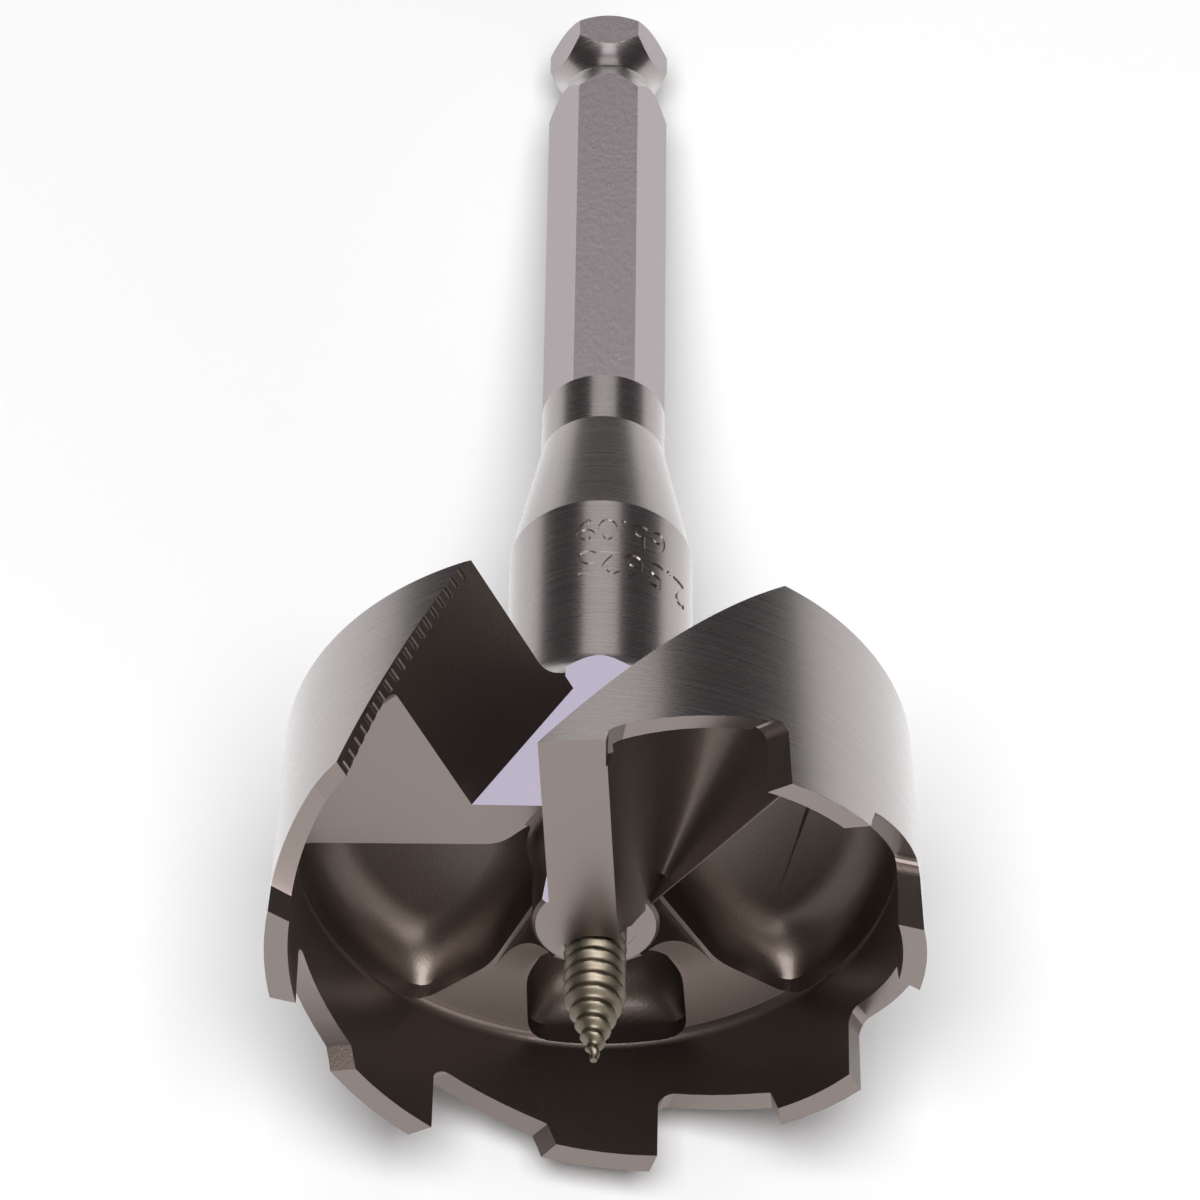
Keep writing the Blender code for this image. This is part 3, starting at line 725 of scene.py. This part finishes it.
def true_normals(body):
    """Gives every turned wall the exact normals of a round surface, whatever its cuts did to its faces."""
    mesh = body.data
    normals = [corner.vector.copy() for corner in mesh.corner_normals]
    for face in mesh.polygons:
        centre, normal = face.center, face.normal
        radius = math.hypot(centre.x, centre.y)
        outward = (centre.x * normal.x + centre.y * normal.y) / max(radius, 0.001)
        flat = math.hypot(normal.x, normal.y)
        if flat < 0.3 or abs(outward) < flat * 0.99985 or not turned_wall(centre, radius):
            continue
        for i in face.loop_indices:
            spot = mesh.vertices[mesh.loops[i].vertex_index].co
            away = Vector((spot.x, spot.y, 0.0)).normalized() * math.copysign(flat, outward)
            normals[i] = Vector((away.x, away.y, normal.z))
    turn = PLACE.to_3x3().normalized()
    lay_down(body)
    mesh.normals_split_custom_set([turn @ normal for normal in normals])


def turned_wall(centre, radius):
    """Whether a face's middle lies on a straight stretch of the turned outline."""
    if centre.z < HEAD_HEIGHT - 0.45:
        outside = abs(radius - head_radius_at(centre.z)) < 0.06
        inside = abs(radius - (HEAD_RADIUS - WALL)) < 0.06 and centre.z < FLOOR_LEVEL - FLOOR_FILLET + 0.05
        return outside or inside
    if HEAD_HEIGHT + COLLAR_FILLET - 0.05 < centre.z < COLLAR_TOP:
        return abs(radius - COLLAR_RADIUS) < 0.03
    if COLLAR_TOP < centre.z < CONE_TOP:
        return True
    return CONE_TOP < centre.z < HEX_START and abs(radius - NECK_RADIUS) < 0.03


# finishes

def linear(colour):
    """Linear RGBA from an sRGB hex value."""
    parts = [int(colour[i:i + 2], 16) / 255 for i in (1, 3, 5)]
    return tuple(c / 12.92 if c <= 0.04045 else ((c + 0.055) / 1.055) ** 2.4 for c in parts) + (1.0,)


def add(mat, kind, links=(), **settings):
    """Adds a node: settings with the names of its sockets or fields, links as (socket, from node, from output)."""
    node = mat.node_tree.nodes.new(kind)
    for key, value in settings.items():
        label = key.replace("_", " ")
        if hasattr(node, key):
            setattr(node, key, value)
        else:
            node.inputs[label if label in node.inputs else label.title()].default_value = value
    for socket, source, output in links:
        mat.node_tree.links.new(source.outputs[output], node.inputs[socket])
    return node


def new_finish(name, colour, roughness, metallic=1.0):
    """A material whose patterns read the bit's own axes, in millimetres."""
    mat = bpy.data.materials.new(name)
    mat.use_nodes = True
    shader = mat.node_tree.nodes["Principled BSDF"]
    shader.inputs["Base Color"].default_value = linear(colour)
    shader.inputs["Roughness"].default_value = roughness
    shader.inputs["Metallic"].default_value = metallic
    coords = add(mat, "ShaderNodeTexCoord")
    turn = Matrix.Rotation(math.pi / 2 + DIP, 3, "X")
    axes = add(mat, "ShaderNodeMapping", [("Vector", coords, "Object")])
    axes.inputs["Scale"].default_value = (1 / MM,) * 3
    axes.inputs["Rotation"].default_value = (math.pi / 2 + DIP, 0.0, 0.0)
    axes.inputs["Location"].default_value = -(turn @ Vector((0.0, -BACK, LIFT)))
    return mat, shader, axes


def oil(shader, roughness, weight=1.0):
    """The film of oil that tool steel is sold with: a thin clear coat, brightest at grazing angles."""
    shader.inputs["Coat Weight"].default_value = weight
    shader.inputs["Coat Roughness"].default_value = roughness


def stretched(mat, axes, scale):
    return add(mat, "ShaderNodeMapping", [("Vector", axes, "Vector")], Scale=scale)


def into(mat, socket, node, output):
    mat.node_tree.links.new(node.outputs[output], socket)


def pattern(mat, vector, scale, detail=3.0, roughness=0.55):
    return add(mat, "ShaderNodeTexNoise", [("Vector", vector, "Vector")], Scale=scale, Detail=detail,
               Roughness=roughness)


def spread(mat, source, low, high, output="Fac", start=0.3, stop=0.7):
    """Maps a pattern's middle range to values from low to high."""
    return add(mat, "ShaderNodeMapRange", [("Value", source, output)], From_Min=start, From_Max=stop, To_Min=low,
               To_Max=high)


def turned_steel():
    """Alloy steel bar, turned and oiled: grey-brown, with fine lines round the axis."""
    mat, shader, axes = new_finish("turned_tool_steel", "#A09896", 0.27)
    oil(shader, 0.16)
    lines = pattern(mat, stretched(mat, axes, (0.03, 0.03, 4.5)), 1.0, 5.0, 0.75)
    shade = spread(mat, lines, 0.22, 0.34)
    into(mat, shader.inputs["Roughness"], shade, "Result")
    bump = add(mat, "ShaderNodeBump", [("Height", lines, "Fac")], Strength=0.35, Distance=0.00003)
    into(mat, shader.inputs["Normal"], bump, "Normal")
    return mat


def black_steel():
    """Heat treated and blackened steel: near black, glossy, with a fine forged grain."""
    mat, shader, axes = new_finish("blackened_forged_steel", "#675C55", 0.44)
    oil(shader, 0.25, 0.5)
    grain = pattern(mat, axes, 3.2, 3.0, 0.6)
    bump = add(mat, "ShaderNodeBump", [("Height", grain, "Fac")], Strength=0.4, Distance=0.00007)
    into(mat, shader.inputs["Normal"], bump, "Normal")
    return mat


def ground_steel(name, colour, roughness):
    """Ground steel: flat, satin, with fine straight grinding lines."""
    mat, shader, axes = new_finish(name, colour, roughness)
    lines = pattern(mat, stretched(mat, axes, (0.3, 2.5, 0.3)), 1.0, 3.0)
    bump = add(mat, "ShaderNodeBump", [("Height", lines, "Fac")], Strength=0.2, Distance=0.00002)
    into(mat, shader.inputs["Normal"], bump, "Normal")
    return mat


def drawn_steel():
    """Cold drawn hexagon bar: mid grey flats with a fine pitted grain."""
    mat, shader, axes = new_finish("drawn_hexagon_steel", "#B4ABAD", 0.38)
    pits = pattern(mat, stretched(mat, axes, (1.6, 1.6, 1.0)), 1.0, 4.0, 0.65)
    bump = add(mat, "ShaderNodeBump", [("Height", pits, "Fac")], Strength=0.7, Distance=0.0001)
    into(mat, shader.inputs["Normal"], bump, "Normal")
    return mat


def bright_steel():
    """Bright cut screw steel: pale warm steel with random, slightly browner stains."""
    mat, shader, axes = new_finish("bright_cut_screw_steel", "#8A8172", 0.46)
    stain = pattern(mat, axes, 0.9, 4.0, 0.6)
    tint = add(mat, "ShaderNodeMix", [("Factor", stain, "Fac")], data_type="RGBA")
    tint.inputs[6].default_value, tint.inputs[7].default_value = linear("#5E5548"), linear("#938A7B")
    into(mat, shader.inputs["Base Color"], tint, 2)
    return mat


def oxide_steel():
    """Black oxide on a grub screw: dark, satin."""
    return new_finish("black_oxide_steel", "#2A2928", 0.4)[0]


def land_steel():
    """The forging's raised lands and rib crests, worn satin by the blasting: paler than the hollows beside them."""
    mat, shader, axes = new_finish("blasted_forged_land_steel", "#8A7E77", 0.5, 0.6)
    grain = pattern(mat, axes, 2.4, 3.0, 0.6)
    bump = add(mat, "ShaderNodeBump", [("Height", grain, "Fac")], Strength=0.3, Distance=0.00006)
    into(mat, shader.inputs["Normal"], bump, "Normal")
    return mat


FINISHES = ["turned", "black", "hub", "ground", "drawn", "land"]


def on_rib(centre):
    """Whether a face's middle lies on a rib's crest or on the flat triangle at its foot."""
    radius = math.hypot(centre.x, centre.y)
    beside = min(abs(direction(angle).cross(centre.xy.to_3d()).z) for angle in (LEFT_RIB, RIGHT_RIB))
    along = BOSS_RADIUS + 0.2 < radius < BOSS_RADIUS + RIB_RUN + 0.4
    crest = along and beside < RIB_WIDTH / 2 - 0.02
    return abs(centre.z - FLOOR_LEVEL) < 0.02 or (crest and centre.z < FLOOR_LEVEL)


def face_finish(centre, normal):
    """Which finish a face of the body has, from its place and direction on the bit's own axes."""
    radius = math.hypot(centre.x, centre.y)
    outward = (centre.x * normal.x + centre.y * normal.y) / max(radius, 0.001)
    _, rake, hub = [abs((centre - point).dot(side)) < 0.02 and normal.dot(side) < -0.99
                    for point, side in opening_sides()]
    if hub:
        return "hub"
    on_hexagon = HEX_FLATS / 2 - 0.02 < radius < HEX_FLATS / math.sqrt(3.0) + 0.01
    if HEX_START - 0.01 < centre.z < SHANK_END - 0.01 and abs(normal.z) < 0.05 and on_hexagon:
        return "drawn"
    if centre.z > HEAD_HEIGHT - 0.6:
        return "turned"
    if outward > 0.9 and radius > head_radius_at(centre.z) - 0.15:
        return "turned"
    if rake:
        return "ground"
    if centre.y > 3.0 and normal.z < -0.4 and on_rib(centre):
        return "land"
    if normal.z < -0.85 and radius > HEAD_RADIUS - WALL - 1.6 and centre.z < 9.0:
        return "ground"
    if normal.z < -0.99 and (abs(centre.z - FLOOR_LEVEL) < 0.02 or centre.z < 0.05 or
                             abs(centre.z - BOSS_LEVEL) < 0.4):
        return "ground"
    return "black"


def smooth_black(mesh):
    """Lets the as-forged faces run into each other smoothly, where other edges stay crisp."""
    black = FINISHES.index("black")
    sides = {}
    for face in mesh.polygons:
        for key in face.edge_keys:
            sides.setdefault(key, []).append(face)
    for edge in mesh.edges:
        faces = sides.get(tuple(sorted(edge.vertices)), ())
        if len(faces) == 2 and all(face.material_index == black for face in faces) \
                and faces[0].normal.angle(faces[1].normal, 0.0) < math.radians(BLACK_CRISP_ANGLE):
            edge.use_edge_sharp = False


def finish_faces(body, mats):
    body.data.materials.clear()
    for name in FINISHES:
        body.data.materials.append(mats[name])
    for face in body.data.polygons:
        face.material_index = FINISHES.index(face_finish(face.center, face.normal))
    smooth_black(body.data)


# stage

CAMERA_DISTANCE = 705.9
CAMERA_TILT = 40.712
CAMERA_ROLL = 0.872
FOCAL = 7191.0           # in pixels of a picture 1200 wide
PICTURE = 1200.0
AIM_RIGHT, AIM_UP = 4.9, 363.6
LENS_EASE = 1.0013


def camera():
    """Seen as in the photograph: a long lens, from in front of the teeth and above."""
    tilt = math.radians(CAMERA_TILT)
    eye = Vector((0.0, -CAMERA_DISTANCE * math.cos(tilt), -CAMERA_DISTANCE * math.sin(tilt)))
    forward = -eye.normalized()
    right = Vector((1.0, 0.0, 0.0))
    up = right.cross(forward)
    if (PLACE.to_3x3() @ up).z < 0:
        up = -up
    roll = math.radians(CAMERA_ROLL)
    right, up = (right * math.cos(roll) + up * math.sin(roll), up * math.cos(roll) - right * math.sin(roll))
    aim = (forward * FOCAL + up * AIM_UP + right * AIM_RIGHT).normalized()
    turn = PLACE.to_3x3().normalized()
    aim, up = turn @ aim, turn @ up
    side = aim.cross(up).normalized()
    up = side.cross(aim).normalized()
    data = bpy.data.cameras.new("camera")
    data.sensor_width = 36.0
    data.lens = FOCAL / PICTURE * data.sensor_width * LENS_EASE
    data.clip_end = 20.0
    item = bpy.data.objects.new("camera", data)
    bpy.context.scene.collection.objects.link(item)
    pose = Matrix((side, up, -aim)).transposed().to_4x4()
    pose.translation = PLACE @ eye
    item.matrix_world = pose
    bpy.context.scene.camera = item


def softbox(name, spot, size, power, colour=(1.0, 1.0, 1.0)):
    """A rectangular lamp turned towards the bit's middle."""
    target = (0.0, 0.0, 0.03)
    data = bpy.data.lights.new(name, "AREA")
    data.shape = "RECTANGLE"
    data.size, data.size_y = size
    data.energy = power
    data.color = colour
    item = bpy.data.objects.new(name, data)
    bpy.context.scene.collection.objects.link(item)
    item.location = spot
    item.rotation_euler = (Vector(target) - Vector(spot)).to_track_quat("-Z", "Y").to_euler()
    return item


def stage():
    """A plain pale floor in a dim, even room."""
    bpy.ops.mesh.primitive_plane_add(size=6.0)
    floor = bpy.context.object
    floor.name = "floor"
    mat = bpy.data.materials.new("pale_floor")
    mat.use_nodes = True
    shader = mat.node_tree.nodes["Principled BSDF"]
    shader.inputs["Base Color"].default_value = (0.86, 0.86, 0.86, 1.0)
    shader.inputs["Roughness"].default_value = 0.9
    shader.inputs["Specular IOR Level"].default_value = 0.1
    floor.data.materials.append(mat)
    world = bpy.data.worlds.new("room")
    world.use_nodes = True
    world.node_tree.nodes["Background"].inputs["Color"].default_value = (0.5, 0.48, 0.5, 1.0)
    world.node_tree.nodes["Background"].inputs["Strength"].default_value = 0.12
    bpy.context.scene.world = world
    bpy.context.scene.view_settings.view_transform = "Standard"


def lights():
    """A broad key above, a fill in front, and two behind that the hub's side and the shank's flats mirror."""
    softbox("front_fill", (0.35, -0.95, 0.30), (0.7, 0.5), 3.0, (1.0, 0.97, 0.93))
    softbox("key", (0.0, -0.35, 1.5), (1.2, 0.8), 26.0)
    softbox("back_high", (0.0, 0.48, 0.95), (0.5, 0.45), 1.1, (0.96, 0.94, 1.0))
    softbox("back_low", (0.0, 0.85, 0.60), (0.6, 0.3), 0.6)


camera()
stage()
lights()

body = rough_body()
chatter_marks(body)
boolean(body, stamped("2.5625", 45.7, 24.0, 5.0))
boolean(body, stamped("65.09", 50.3, 14.0, 4.6))
only(body)
bpy.ops.object.shade_smooth_by_angle(angle=math.radians(CRISP_ANGLE))
finish_faces(body, {"turned": turned_steel(), "black": black_steel(),
                    # The hub side is ground steel like the tooth lands. Its ground steel tone is real, but its
                    # lighter, lavender base colour is a painted reflection of the back lamp.
                    "hub": ground_steel("ground_hub_steel_painted_lavender_reflection", "#A19CA8", 0.22),
                    "ground": ground_steel("ground_tooth_steel", "#8E8480", 0.3), "drawn": drawn_steel(),
                    "land": land_steel()})
screw = feed_screw()
screw.data.materials.append(bright_steel())
grub = set_screw()
grub.data.materials.append(oxide_steel())

for piece, node, slot in ((body, "bit_body", "ground_tool_steel"), (screw, "feed_screw", "bright_screw_steel"),
                          (grub, "set_screw", "black_oxide_steel")):
    if piece is body:
        true_normals(piece)
    else:
        lay_down(piece)
    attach(piece, "root")
    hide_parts(node)
